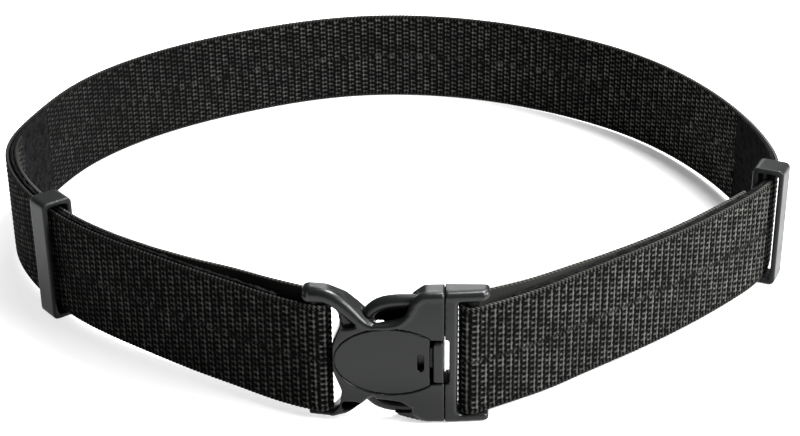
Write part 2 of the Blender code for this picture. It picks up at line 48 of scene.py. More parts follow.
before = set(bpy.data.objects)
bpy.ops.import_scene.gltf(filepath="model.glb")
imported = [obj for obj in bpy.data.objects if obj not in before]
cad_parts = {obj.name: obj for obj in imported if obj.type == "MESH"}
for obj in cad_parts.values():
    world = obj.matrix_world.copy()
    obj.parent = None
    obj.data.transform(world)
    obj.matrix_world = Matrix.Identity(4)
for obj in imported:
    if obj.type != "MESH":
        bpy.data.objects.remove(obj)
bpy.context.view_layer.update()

MM = 0.001

# The strap's course, seen from above, in mm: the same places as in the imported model
Station = namedtuple("Station", "x y")
BELT_PLAN = tuple(
    Station(*row)
    for row in (
        (-45.7, -165.8),
        (-63.5, -153.8),
        (-81.9, -141.1),
        (-111.2, -119.3),
        (-141.3, -93.7),
        (-157.6, -74.7),
        (-170.9, -54.3),
        (-181.2, -32.0),
        (-187.1, -3.7),
        (-181.1, 34.0),
        (-166.7, 76.0),
        (-129.7, 123.6),
        (-80.1, 157.6),
        (-24.1, 178.4),
        (36.0, 175.8),
        (90.4, 151.6),
        (135.7, 112.8),
        (164.7, 66.2),
        (179.5, 23.6),
        (185.5, -11.0),
        (185.2, -36.3),
        (177.7, -57.0),
        (163.6, -74.8),
        (142.3, -96.2),
        (100.8, -131.4),
        (81.8, -146.1),
        (63.4, -160.4),
    )
)
# The buckle's middle and its turn about Z, and where its two web bars stand in its own plane
BUCKLE_AT = Vector((5.2, -177.4, 31.0)) * MM
BUCKLE_TURN = math.radians(-2.8)
BAR_DEPTH = 6.1 * MM
LEFT_BAR_U = -34.3 * MM
RIGHT_BAR_U = 28.9 * MM
FOLD_RADIUS = 4.3 * MM
# The stiff web doesn't hug its bars: how far each fold stands off, into the buckle
LEFT_SLACK = 0.6 * MM
RIGHT_SLACK = 0.9 * MM
# Directions of the web at the bars, against the buckle's plane, and how long the two tails are
WEB_LEAVES_LEFT_BAR = math.radians(22.0)
WEB_LEAVES_RIGHT_BAR = math.radians(31.0)
TAIL_LEFT = 250.0 * MM
TAIL_RIGHT = 170.0 * MM
WEB_HALF = 1.0 * MM
GAP = 0.3 * MM
# Where the pile panels start and end, along the outer line from the nearest bar
PANEL_LEFT = (20.0 * MM, 285.0 * MM)
PANEL_RIGHT = (20.0 * MM, 270.0 * MM)
PANEL_THICK = 1.6 * MM
PANEL_WIDTH = 50.2 * MM
# How far the panels' long edges bulge, how uneven their faces are, and how ragged their last millimetres
PANEL_BULGE = 0.3 * MM
PANEL_BUMPS = 0.2 * MM
PANEL_RAGGED = 0.9 * MM
PANEL_RAGGED_OVER = 6.0 * MM
# The strap's lower edge is on the floor at the back, and this much above it at the buckle
EDGE_RISE = 4.4 * MM
EDGE_FRONT = BUCKLE_AT.y
EDGE_BACK = max(row.y for row in BELT_PLAN) * MM
# How far each tail stands off the strap, and how much higher it lies, in mm
TailRow = namedtuple("TailRow", "distance left right higher")
TAIL_OPENING = tuple(
    TailRow(*row)
    for row in (
        (0.0, 8.6, 8.6, 0.0),
        (6.0, 11.8, 10.4, 0.3),
        (12.0, 12.6, 10.8, 0.6),
        (20.0, 12.2, 10.0, 0.6),
        (30.0, 11.4, 9.0, 0.5),
        (50.0, 9.9, 7.2, 0.5),
        (70.0, 7.1, 5.5, 0.5),
        (90.0, 5.1, 4.7, 0.5),
        (110.0, 4.2, 4.2, 0.5),
    )
)
# Steps of the worked-out course, and the lengths over which the tails and the whole course are averaged
ROUTE_STEP = 0.4 * MM
SPLINE_STEPS = 80
TAIL_EASE = 4.0 * MM
FOLD_EASE = 2.0 * MM

# Where the outer line is split into pieces, counted from the left bar: under the slides and at the back
SPLITS = (156.5 * MM, 509.0 * MM, 862.0 * MM)
# The strap's pieces in order: mesh cuts to a rib, and to a row outside and inside, which are 0 where the face
# is hidden, and how strongly the ridges are broken into beads
Piece = namedtuple("Piece", "name rib_cuts front_cuts back_cuts beading")
STRAP_PIECES = (
    Piece("tail_left", 4, 3, 0, 0.2),
    Piece("strap_left", 6, 4, 0, 0.3),
    Piece("strap_back_left", 4, 2, 3, 0.5),
    Piece("strap_back_right", 4, 2, 3, 0.46),
    Piece("strap_right", 6, 4, 0, 0.14),
    Piece("tail_right", 4, 3, 0, 0.2),
)
# Points of a mesh that are nearer than this are one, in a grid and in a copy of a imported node
GRID_WELD = 0.0005 * MM
NODE_WELD = 0.001 * MM


def srgb(code):
    """Linear colour from an sRGB hex code."""
    parts = [int(code[i : i + 2], 16) / 255 for i in (0, 2, 4)]
    return [c / 12.92 if c <= 0.04045 else ((c + 0.055) / 1.055) ** 2.4 for c in parts]


class WebbingSettings(bpy.types.PropertyGroup):
    """Sizes and colour of the woven strap."""

    width: FloatProperty(
        name="Width", description="Width of the webbing", default=0.0508, unit="LENGTH"
    )
    rib_pitch: FloatProperty(
        name="Rib pitch", description="Distance between two ribs along the strap", default=0.00205,
        unit="LENGTH",
    )
    row_pitch: FloatProperty(
        name="Row pitch", description="Distance between two rows of crowns across the strap", default=0.0026,
        unit="LENGTH",
    )
    crown: FloatProperty(
        name="Crown", description="How far the yarns' crowns stand from the strap's middle plane",
        default=0.00110, unit="LENGTH",
    )
    hole: FloatProperty(
        name="Hole", description="How far the bottom of a hole is from the strap's middle plane",
        default=0.00030, unit="LENGTH",
    )
    colour: FloatVectorProperty(
        name="Colour", description="Dyed nylon yarn", default=srgb("4b4b48"), subtype="COLOR", size=3,
        min=0, max=1,
    )


class PileSettings(bpy.types.PropertyGroup):
    """The brushed loop panels inside the strap."""

    cell: FloatProperty(
        name="Cell", description="Size of the panel's mesh cells", default=0.0014, unit="LENGTH"
    )
    colour: FloatVectorProperty(
        name="Colour", description="Dyed nylon loops", default=srgb("080809"), subtype="COLOR", size=3,
        min=0, max=1,
    )


class MouldingSettings(bpy.types.PropertyGroup):
    """The buckle's and the slides' plastic."""

    voxel: FloatProperty(
        name="Voxel", description="Size of the cells that round a moulding's edges", default=0.0005,
        unit="LENGTH",
    )
    easing: IntProperty(
        name="Easing", description="How many times a moulding's surface is smoothed", default=3, min=0, max=40
    )
    colour: FloatVectorProperty(
        name="Colour", description="Acetal with carbon black", default=srgb("0d0e0e"), subtype="COLOR",
        size=3, min=0, max=1,
    )


class StageSettings(bpy.types.PropertyGroup):
    """Floor and lights."""

    floor: FloatVectorProperty(
        name="Floor", description="Colour of the floor", default=srgb("b4b4b4"), subtype="COLOR", size=3,
        min=0, max=1,
    )
    key_power: FloatProperty(
        name="Key light", description="Power of the light from the right", default=21.0, unit="POWER"
    )
    top_power: FloatProperty(
        name="Top light", description="Power of the light above", default=36.0, unit="POWER"
    )
    back_power: FloatProperty(
        name="Back light", description="Power of the light behind, which the tops reflect", default=5.5,
        unit="POWER",
    )


# Nodes and materials


def add_node(tree, kind, inputs=None, **settings):
    """Adds a shader node, sets its properties, and fills or links its inputs."""
    node = tree.nodes.new("ShaderNode" + kind)
    for key, value in settings.items():
        setattr(node, key, value)
    for socket, value in (inputs or {}).items():
        if isinstance(value, bpy.types.NodeSocket):
            tree.links.new(value, node.inputs[socket])
        else:
            node.inputs[socket].default_value = value
    return node


def new_material(name):
    """An empty material with its shader, and its tree."""
    made = bpy.data.materials.new(name)
    made.use_nodes = True
    tree = made.node_tree
    tree.nodes.clear()
    shader = add_node(tree, "BsdfPrincipled")
    add_node(tree, "OutputMaterial", {"Surface": shader.outputs["BSDF"]})
    return made, tree, shader


def woven_nylon():
    """Solution-dyed black nylon yarn with a soft gloss on each crown. Its colour carries painted shade, black
    in the holes, and a painted highlight on the crowns, and painted light and shade along the web.
    """
    made, tree, shader = new_material("woven_black_nylon")
    colour = bpy.context.scene.webbing.colour
    relief = add_node(tree, "Attribute", attribute_name="relief").outputs["Fac"]
    place = add_node(tree, "UVMap", uv_map="UVMap").outputs["UV"]
    # filaments of about 0.2 mm lie along the strap
    grain = add_node(tree, "Mapping", {"Vector": place, "Scale": (900.0, 5000.0, 1.0)})
    strands = add_node(tree, "TexNoise", {"Vector": grain.outputs["Vector"], "Scale": 1.0, "Detail": 2.0})
    # dye and dust vary slowly, over some 30 mm
    slow = add_node(tree, "TexNoise", {"Vector": place, "Scale": 33.0, "Detail": 3.0})
    # the relief paints the colour: black in the holes as painted shade, and lighter on the crowns as a
    # painted highlight
    level = add_node(
        tree, "MapRange", {"Value": relief, "From Min": 0.38, "From Max": 1.0, "To Min": 0.0, "To Max": 1.0}
    )
    drift = add_node(
        tree,
        "MapRange",
        {"Value": slow.outputs["Fac"], "From Min": 0.3, "From Max": 0.7, "To Min": 0.8, "To Max": 1.25},
    )
    # painted light and shade along the web, read from the strap's mesh attribute
    wear = add_node(tree, "Attribute", attribute_name="wear").outputs["Fac"]
    painted_shading = add_node(tree, "Math", {0: level.outputs["Result"], 1: wear}, operation="MULTIPLY")
    share = add_node(
        tree, "Math", {0: painted_shading.outputs["Value"], 1: drift.outputs["Result"]}, operation="MULTIPLY"
    )
    tone = add_node(
        tree, "VectorMath", {0: tuple(colour), "Scale": share.outputs["Value"]}, operation="SCALE"
    )
    bump = add_node(
        tree, "Bump", {"Strength": 0.35, "Distance": 0.0001, "Height": strands.outputs["Fac"]}
    )
    # worn crowns shine, and the yarn deep in the weave doesn't
    gloss = add_node(
        tree, "MapRange", {"Value": relief, "From Min": 0.5, "From Max": 1.0, "To Min": 1.0, "To Max": 0.38}
    )
    tree.links.new(tone.outputs["Vector"], shader.inputs["Base Color"])
    tree.links.new(bump.outputs["Normal"], shader.inputs["Normal"])
    tree.links.new(gloss.outputs["Result"], shader.inputs["Roughness"])
    shader.inputs["IOR"].default_value = 1.53
    shader.inputs["Specular IOR Level"].default_value = 0.08
    return made


def brushed_pile():
    """Napped nylon loops: dull and blotchy, with hardly any gloss."""
    made, tree, shader = new_material("brushed_loop_pile")
    colour = bpy.context.scene.pile.colour
    place = add_node(tree, "TexCoord").outputs["Object"]
    # loops of about 0.5 mm, drawn at 1 mm so that they show, in tufts of about 4 mm
    loops = add_node(tree, "TexNoise", {"Vector": place, "Scale": 1 / (1.0 * MM), "Detail": 3.0})
    tufts = add_node(tree, "TexNoise", {"Vector": place, "Scale": 1 / (4.0 * MM), "Detail": 2.0})
    both = add_node(tree, "Math", {0: loops.outputs["Fac"], 1: tufts.outputs["Fac"]}, operation="MULTIPLY")
    level = add_node(
        tree,
        "MapRange",
        {"Value": both.outputs["Value"], "From Min": 0.19, "From Max": 0.34, "To Min": 0.3, "To Max": 1.9},
    )
    tone = add_node(
        tree, "VectorMath", {0: tuple(colour), "Scale": level.outputs["Result"]}, operation="SCALE"
    )
    bump = add_node(tree, "Bump", {"Strength": 1.0, "Distance": 0.0005, "Height": both.outputs["Value"]})
    tree.links.new(tone.outputs["Vector"], shader.inputs["Base Color"])
    tree.links.new(bump.outputs["Normal"], shader.inputs["Normal"])
    shader.inputs["Roughness"].default_value = 0.9
    shader.inputs["Specular IOR Level"].default_value = 0.05
    return made


def moulded_acetal(name, gleam, shade):
    """Injection-moulded acetal from a finely spark-eroded tool: satin, with a grain that softens highlights.
    The gleam is its specular level, and the shade multiplies its colour."""
    made, tree, shader = new_material(name)
    colour = bpy.context.scene.moulding.colour
    place = add_node(tree, "TexCoord").outputs["Object"]
    # spark-eroded grain of about 0.25 mm
    grain = add_node(tree, "TexNoise", {"Vector": place, "Scale": 1 / (0.25 * MM), "Detail": 2.0})
    # handling wears the gloss in patches of some 12 mm
    wear = add_node(tree, "TexNoise", {"Vector": place, "Scale": 1 / (12.5 * MM), "Detail": 3.0})
    patches = {"Value": wear.outputs["Fac"], "From Min": 0.3, "From Max": 0.7}
    level = add_node(tree, "MapRange", {**patches, "To Min": 0.9 * shade, "To Max": 1.1 * shade})
    tone = add_node(
        tree, "VectorMath", {0: tuple(colour), "Scale": level.outputs["Result"]}, operation="SCALE"
    )
    gloss = add_node(tree, "MapRange", {**patches, "To Min": 0.27, "To Max": 0.35})
    bump = add_node(tree, "Bump", {"Strength": 0.12, "Distance": 0.0001, "Height": grain.outputs["Fac"]})
    tree.links.new(tone.outputs["Vector"], shader.inputs["Base Color"])
    tree.links.new(gloss.outputs["Result"], shader.inputs["Roughness"])
    tree.links.new(bump.outputs["Normal"], shader.inputs["Normal"])
    shader.inputs["IOR"].default_value = 1.48
    shader.inputs["Specular IOR Level"].default_value = gleam
    return made


# Course of the strap


def spline_through(stations, start_direction, end_direction):
    """Dense points on a smooth curve through the stations."""
    points = np.array(stations, float)
    chord = np.hypot(*np.diff(points, axis=0).T)
    size = len(points)
    system = np.zeros((size, size))
    right = np.zeros((size, 2))
    system[0, 0] = system[-1, -1] = 1.0
    right[0] = start_direction
    right[-1] = end_direction
    for i in range(1, size - 1):
        before, after = chord[i - 1], chord[i]
        system[i, i - 1 : i + 2] = after, 2 * (before + after), before
        right[i] = 3 * (
            after * (points[i] - points[i - 1]) / before + before * (points[i + 1] - points[i]) / after
        )
    slopes = np.linalg.solve(system, right)
    dense = []
    for i in range(size - 1):
        for t in np.linspace(0.0, 1.0, SPLINE_STEPS, endpoint=i == size - 2):
            dense.append(
                (2 * t**3 - 3 * t**2 + 1) * points[i]
                + (t**3 - 2 * t**2 + t) * chord[i] * slopes[i]
                + (3 * t**2 - 2 * t**3) * points[i + 1]
                + (t**3 - t**2) * chord[i] * slopes[i + 1]
            )
    return np.array(dense)


def running_length(line):
    """Distance along a row of points, seen from above."""
    return np.r_[0.0, np.cumsum(np.hypot(*np.diff(line[:, :2], axis=0).T))]


def resampled(dense, count):
    """Evenly spaced points on a row of points, and their normals to the right."""
    along = running_length(dense)
    marks = np.linspace(0.0, along[-1], count + 1)
    line = np.column_stack([np.interp(marks, along, column) for column in dense.T])
    heading = np.gradient(line[:, :2], axis=0)
    heading /= np.hypot(*heading.T)[:, None]
    return line, np.column_stack([heading[:, 1], -heading[:, 0]])


def eased(values, reach):
    """A row of evenly spaced values or points, each averaged with those within reach of it."""
    count = round(reach / ROUTE_STEP)
    values = np.asarray(values, float)
    before = 2 * values[0] - values[count:0:-1]
    after = 2 * values[-1] - values[-2 : -count - 2 : -1]
    padded = np.concatenate([before, values, after])
    total = np.cumsum(np.concatenate([padded[:1] * 0.0, padded]), axis=0)
    return (total[2 * count + 1 :] - total[: -2 * count - 1]) / (2 * count + 1)


def buckle_direction(angle):
    """A level direction that makes this angle with the buckle's U axis."""
    return np.array([math.cos(BUCKLE_TURN + angle), math.sin(BUCKLE_TURN + angle)])


def bar_middle(u):
    """Where a web bar stands, seen from above."""
    centre = BUCKLE_AT + Matrix.Rotation(BUCKLE_TURN, 3, "Z") @ Vector((u, BAR_DEPTH, 0.0))
    return np.array(centre.xy)


def outer_line():
    """The middle of the outer strap, from the left bar's front round the waist to the right bar's front, and
    its normals into the waist."""
    leaves = buckle_direction(math.pi - WEB_LEAVES_LEFT_BAR)
    arrives = -buckle_direction(WEB_LEAVES_RIGHT_BAR)
    start = bar_middle(LEFT_BAR_U) - FOLD_RADIUS * np.array([leaves[1], -leaves[0]]) - LEFT_SLACK * leaves
    end = bar_middle(RIGHT_BAR_U) - FOLD_RADIUS * np.array([arrives[1], -arrives[0]]) + RIGHT_SLACK * arrives
    stations = [start, *(np.array(row) * MM for row in BELT_PLAN), end]
    dense = spline_through(stations, leaves, arrives)
    return resampled(dense, round(running_length(dense)[-1] / ROUTE_STEP))


def tail(line, inward, long, side):
    """The tail's points from the bar on, inside the first part of a line that starts at that bar."""
    count = round(long / ROUTE_STEP)
    distances = np.arange(count + 1) * ROUTE_STEP
    rows = [row.distance * MM for row in TAIL_OPENING]
    pitch = eased(np.interp(distances, rows, [getattr(row, side) * MM for row in TAIL_OPENING]), TAIL_EASE)
    higher = np.interp(distances, rows, [row.higher * MM for row in TAIL_OPENING])
    return np.column_stack([line[: count + 1] + inward[: count + 1] * pitch[:, None], higher])


def fold_arc(start, end):
    """Points of half a turn from start to end."""
    middle = (start[:2] + end[:2]) / 2
    first = start[:2] - middle
    turns = np.linspace(0.0, math.pi, round(math.pi * FOLD_RADIUS / ROUTE_STEP))[1:-1]
    side = np.array([first[1], -first[0]])
    arc = middle + np.cos(turns)[:, None] * first + np.sin(turns)[:, None] * side
    return np.column_stack([arc, np.zeros(len(arc))])


Route = namedtuple("Route", "points normals total tail_end line_start")


def strap_route():
    """The strap's middle line from the left tail's end to the right tail's end, with the normals of its outer
    face, its whole length, and the distances at which the left tail ends and the outer line starts."""
    line, inward = outer_line()
    left = tail(line, inward, TAIL_LEFT, "left")[::-1]
    right = tail(line[::-1], inward[::-1], TAIL_RIGHT, "right")
    line = np.column_stack([line, np.zeros(len(line))])
    parts = [left, fold_arc(left[-1], line[0]), line, fold_arc(line[-1], right[0]), right]
    whole = np.vstack(parts)
    starts = running_length(whole)
    tail_end = len(left) - 1
    line_start = len(left) + len(parts[1])
    points, rightwards = resampled(whole, round(starts[-1] / ROUTE_STEP))
    distances = (float(starts[place]) for place in (-1, tail_end, line_start))
    return Route(eased(points, FOLD_EASE), -rightwards, *distances)


def edge_height(places):
    """How high the strap's lower edge is at points seen from above."""
    return EDGE_RISE * np.clip((EDGE_BACK - places[:, 1]) / (EDGE_BACK - EDGE_FRONT), 0.0, 1.0)


# Weave


# Distances from the strap's edge: half the width of the strokes beside it, the mesh cuts there, and where the
# weave starts. The seam runs along the strap's middle.
STROKE_HALF = 1.0 * MM
STROKE_CUTS = np.array([1.0, 1.4, 1.9]) * MM
WEAVE_STARTS = 2.1 * MM
SEAM_HALF = 0.9 * MM
# Mesh cuts round each long edge, and across a hidden face
EDGE_TURNS = 6
HIDDEN_CUTS = 8
# Slanted strokes: the middle of their height, how much they rise and fall, and how many ribs they lean
Strokes = namedtuple("Strokes", "height swing lean")
EDGE_STROKES = Strokes(0.58, 0.14, 0.3)
SELVEDGE_STROKES = Strokes(0.5, 0.3, 0.25)
SELVEDGE_ROUND = 0.15
SELVEDGE_TONE = 0.85
SEAM_STROKES = Strokes(0.45, 0.17, 0.3)
# Height and tone of a face without weave, which the tails or the pile hide
HIDDEN_HEIGHT = 0.75
HIDDEN_TONE = 0.5
# Tones of single crowns by rib and row
TONES = np.random.default_rng(11).uniform(0.70, 1.15, (211, 23))
# Painted light and shade on the yarn, as shares of its colour on the outer face, the inner face and the
# edges, which take a painted highlight, and how much lower the web's lower edge hangs, at distances along the
# web from the left tail's end
PaintedLightRow = namedtuple("PaintedLightRow", "distance outer inner edges sag")
WEB_PAINTED_LIGHT_AND_SAG = tuple(
    PaintedLightRow(*row)
    for row in (
        (0.0, 0.3, 0.3, 1.5, 0.0),
        (30.0, 0.5, 0.5, 2.0, 0.0),
        (70.0, 1.0, 1.0, 2.5, 0.0),
        (256.0, 1.0, 1.0, 2.5, 0.0),
        (266.0, 0.57, 1.0, 1.0, 0.3),
        (320.0, 0.57, 1.0, 1.0, 0.6),
        (395.0, 0.5, 0.55, 1.0, 0.3),
        (415.0, 0.6, 0.42, 1.7, 0.0),
        (600.0, 1.0, 0.42, 1.7, 0.0),
        (772.0, 1.0, 0.9, 1.7, 0.0),
        (900.0, 1.0, 0.95, 1.7, 0.0),
        (1050.0, 1.0, 2.5, 1.7, 0.0),
        (1120.0, 1.2, 3.0, 1.5, 0.0),
        (1140.0, 1.2, 1.0, 1.0, 0.8),
        (1220.0, 1.05, 1.0, 1.0, 0.9),
        (1270.0, 1.0, 1.0, 1.0, 0.6),
        (1290.0, 1.0, 1.0, 1.6, 0.0),
        (1460.0, 1.0, 1.0, 1.6, 0.0),
    )
)
# One repeat of the weave is two ribs long and one row high, and the next repeat lies half a row further.
# Places and sizes are in ribs along and rows across; heights are above the base, and those below 0 are holes.
WEAVE_BASE = 0.42
Yarn = namedtuple("Yarn", "along across half_along half_across height")
WEAVE_REPEAT = (
    Yarn(0.75, 0.5, 0.34, 0.24, 0.50),
    Yarn(0.56, 0.0, 0.30, 0.24, -0.95),
    Yarn(-0.45, 0.0, 0.24, 0.26, -0.70),
)
# The ridge at the start of each repeat, which runs across the web
RIDGE_HALF = 0.26
RIDGE_HEIGHT = 0.52


def smooth_step(low, high, value):
    """0 below low and 1 above high, with a smooth rise between."""
    share = np.clip((value - low) / (high - low), 0.0, 1.0)
    return share * share * (3.0 - 2.0 * share)


def weave_relief(ribs, rows, beading):
    """Height of the weave, from 0 in its holes to 1 on its crowns, and the crowns' tone, at a place that is
    counted in ribs and rows."""
    relief = np.full(len(ribs), WEAVE_BASE)
    nearest = np.rint(ribs / 2.0)
    for cell in (nearest - 1.0, nearest, nearest + 1.0):
        along = ribs - 2.0 * cell
        across = rows - 0.5 * (cell % 2.0)
        ridge = RIDGE_HEIGHT * (1.0 - beading - beading * np.cos(math.tau * across))
        relief += ridge * np.exp(-((along / RIDGE_HALF) ** 2))
        for yarn in WEAVE_REPEAT:
            off = across - yarn.across
            off = off - np.rint(off)
            relief += yarn.height * np.exp(
                -(((along - yarn.along) / yarn.half_along) ** 2) - (off / yarn.half_across) ** 2
            )
    rib = np.rint(ribs).astype(int) % len(TONES)
    row = np.rint(rows - 0.5 * (nearest % 2.0)).astype(int) % TONES.shape[1]
    return np.clip(relief, 0.0, 1.0), TONES[rib, row]


def stroke_relief(strokes, ribs, off):
    """Height of slanted strokes, one to a rib, at a place off their middle by a share of their half."""
    return strokes.height + strokes.swing * np.cos(math.tau * (ribs + strokes.lean * off))


def strap_relief(ribs, across, row_pitch, half, beading):
    """Height and tone of the woven face: crowns, a flatter seam in its middle, strokes at its edges."""
    relief, tone = weave_relief(ribs, across / row_pitch, beading)
    seam = stroke_relief(SEAM_STROKES, ribs, across / SEAM_HALF)
    relief = relief + (seam - relief) * smooth_step(1.3, 0.8, np.abs(across) / SEAM_HALF)
    from_edge = half - np.abs(across)
    off = (from_edge - STROKE_HALF) / STROKE_HALF
    selvedge = stroke_relief(SELVEDGE_STROKES, ribs, off) - SELVEDGE_ROUND * off**2
    at_edge = from_edge < WEAVE_STARTS
    return np.where(at_edge, selvedge, relief), np.where(at_edge, SELVEDGE_TONE, tone)


Column = namedtuple("Column", "across face lift run fine")


def face_places(half, row_pitch, cuts):
    """Heights of the mesh points across one face, without its upper end: even cuts to a row between the
    strokes, or a few where the face is hidden."""
    if not cuts:
        return np.linspace(-half + STROKE_CUTS[0], half - STROKE_CUTS[0], HIDDEN_CUTS + 1)[:-1]
    reach = math.floor((half - WEAVE_STARTS) / row_pitch * cuts)
    # an odd number of cuts moves by a quarter of one, so that neighbouring ribs, half a row apart, look alike
    shift = 0.25 * (cuts % 2)
    woven = (np.arange(-reach, reach + 1) + shift) * row_pitch / cuts
    return np.concatenate([STROKE_CUTS - half, woven, half - STROKE_CUTS[:0:-1]])


def strap_columns(width, row_pitch, front_cuts, back_cuts):
    """The columns of mesh points round the strap's section: height on the strap, direction (face, lift),
    run round the section, and whether the weave shows there."""
    half = width / 2
    columns = []
    for side, cuts in ((1.0, front_cuts), (-1.0, back_cuts)):
        for across in face_places(half, row_pitch, cuts) * side:
            columns.append((across, side, 0.0, bool(cuts)))
        for k in range(EDGE_TURNS):
            turn = math.pi * k / EDGE_TURNS
            lift = side * math.sin(turn) if k else 0.0
            columns.append(((half - STROKE_CUTS[0]) * side, side * math.cos(turn), lift, True))
    columns.append(columns[0])
    heights, face, lift, fine = (np.array(values) for values in zip(*columns))
    places = np.column_stack([face * MM, heights + lift * MM])
    run = np.r_[0.0, np.cumsum(np.hypot(*np.diff(places, axis=0).T))]
    return Column(heights, face, lift, run, fine)


def new_object(name, mesh, material, body):
    """An object for a finished mesh, on its body, with its finish."""
    mesh.materials.clear()
    mesh.materials.append(material)
    mesh.shade_smooth()
    made = bpy.data.objects.new(name, mesh)
    bpy.context.scene.collection.objects.link(made)
    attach(made, body)
    return made


@contextmanager
def edited(mesh):
    """A mesh as a bmesh, which is written back to it at the end."""
    shape = bmesh.new()
    shape.from_mesh(mesh)
    yield shape
    shape.to_mesh(mesh)
    shape.free()


def wrapped_grid(name, marks, run, place):
    """A closed band: a grid with one line of points for each mark along it and each step of run round it.
    place(mark numbers, run numbers) gives each point and its attributes."""
    mesh = bpy.data.meshes.new(name)
    with edited(mesh) as shape:
        shape.loops.layers.uv.new("UVMap")
        bmesh.ops.create_grid(
            shape, x_segments=len(marks) - 1, y_segments=len(run) - 1, size=1.0, calc_uvs=True
        )
    flat = np.zeros(len(mesh.vertices) * 3)
    mesh.vertices.foreach_get("co", flat)
    flat = flat.reshape(-1, 3)
    i = np.rint((flat[:, 0] + 1.0) / 2.0 * (len(marks) - 1)).astype(int)
    j = np.rint((flat[:, 1] + 1.0) / 2.0 * (len(run) - 1)).astype(int)
    points, attributes = place(i, j)
    mesh.vertices.foreach_set("co", points.ravel())
    corners = np.zeros(len(mesh.loops), int)
    mesh.loops.foreach_get("vertex_index", corners)
    uv = np.column_stack([marks[i[corners]], run[j[corners]]])
    mesh.uv_layers["UVMap"].uv.foreach_set("vector", uv.ravel())
    for kind, values in attributes.items():
        mesh.attributes.new(kind, "FLOAT", "POINT").data.foreach_set("value", values)
    with edited(mesh) as shape:
        bmesh.ops.remove_doubles(shape, verts=shape.verts, dist=GRID_WELD)
        rims = [edge for edge in shape.edges if edge.is_boundary]
        bmesh.ops.holes_fill(shape, edges=rims, sides=0)
        for rim in rims:
            rim.smooth = False
        bmesh.ops.recalc_face_normals(shape, faces=shape.faces)
    return mesh


def strap_piece(piece, start, end, route):
    """One closed length of woven strap, with its relief in the mesh."""
    webbing = bpy.context.scene.webbing
    pitch = webbing.rib_pitch
    # a piece starts and ends in the valley between two ribs
    valleys = [round(place / pitch - 0.5) + 0.5 for place in (start, end)]
    marks = np.linspace(*valleys, round((valleys[1] - valleys[0]) * piece.rib_cuts) + 1) * pitch
    marks = marks[(marks >= 0.0) & (marks <= route.total)]
    column = strap_columns(webbing.width, webbing.row_pitch, piece.front_cuts, piece.back_cuts)
    along = np.linspace(0.0, route.total, len(route.points))
    middle = np.column_stack([np.interp(marks, along, values) for values in route.points.T])
    normal = np.column_stack([np.interp(marks, along, values) for values in route.normals.T])
    normal /= np.hypot(*normal.T)[:, None]
    half = webbing.width / 2
    base = edge_height(middle) + middle[:, 2] + half
    places = [row.distance * MM for row in WEB_PAINTED_LIGHT_AND_SAG]
    outer, inner, edges, sag = (
        np.interp(marks, places, [getattr(row, kind) for row in WEB_PAINTED_LIGHT_AND_SAG])
        for kind in ("outer", "inner", "edges", "sag")
    )
    sag = sag * MM

    def place(i, j):
        ribs = marks[i] / pitch
        relief, tone = strap_relief(ribs, column.across[j], webbing.row_pitch, half, piece.beading)
        on_edge = np.abs(column.lift[j]) > 0.01
        relief = np.where(on_edge, stroke_relief(EDGE_STROKES, ribs, column.face[j]), relief)
        relief = np.where(column.fine[j], relief, HIDDEN_HEIGHT)
        reach = webbing.hole + (webbing.crown - webbing.hole) * relief
        across = column.across[j] + column.lift[j] * reach
        face = column.face[j] * reach
        spot = np.empty((len(i), 3))
        spot[:, :2] = middle[i, :2] + normal[i] * face[:, None]
        spot[:, 2] = base[i] + across
        spot[:, 2] -= sag[i] * np.clip(-column.across[j] / half, 0.0, 1.0)
        # painted light and shade by face and along the web, and a painted highlight on the rounded edges
        wear = np.where(column.face[j] > 0.0, outer[i], inner[i])
        wear = np.where(on_edge, wear * edges[i], wear)
        return spot, {"relief": np.where(column.fine[j], relief * tone, HIDDEN_TONE), "wear": wear}

    mesh = wrapped_grid(piece.name, marks, column.run, place)
    made = new_object(piece.name, mesh, bpy.data.materials["woven_black_nylon"], "belt")
    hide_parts("web_strap")


class DUTYBELT_OT_strap(bpy.types.Operator):
    """Weaves the strap, with its two folds and tails"""

    bl_idname = "duty_belt.strap"
    bl_label = "Strap"

    def execute(self, context):
        woven_nylon()
        route = strap_route()
        splits = (route.line_start + split for split in SPLITS)
        places = (0.0, route.tail_end, *splits, route.total - TAIL_RIGHT, route.total)
        for piece, start, end in zip(STRAP_PIECES, places, places[1:]):
            strap_piece(piece, start, end, route)
        return {"FINISHED"}


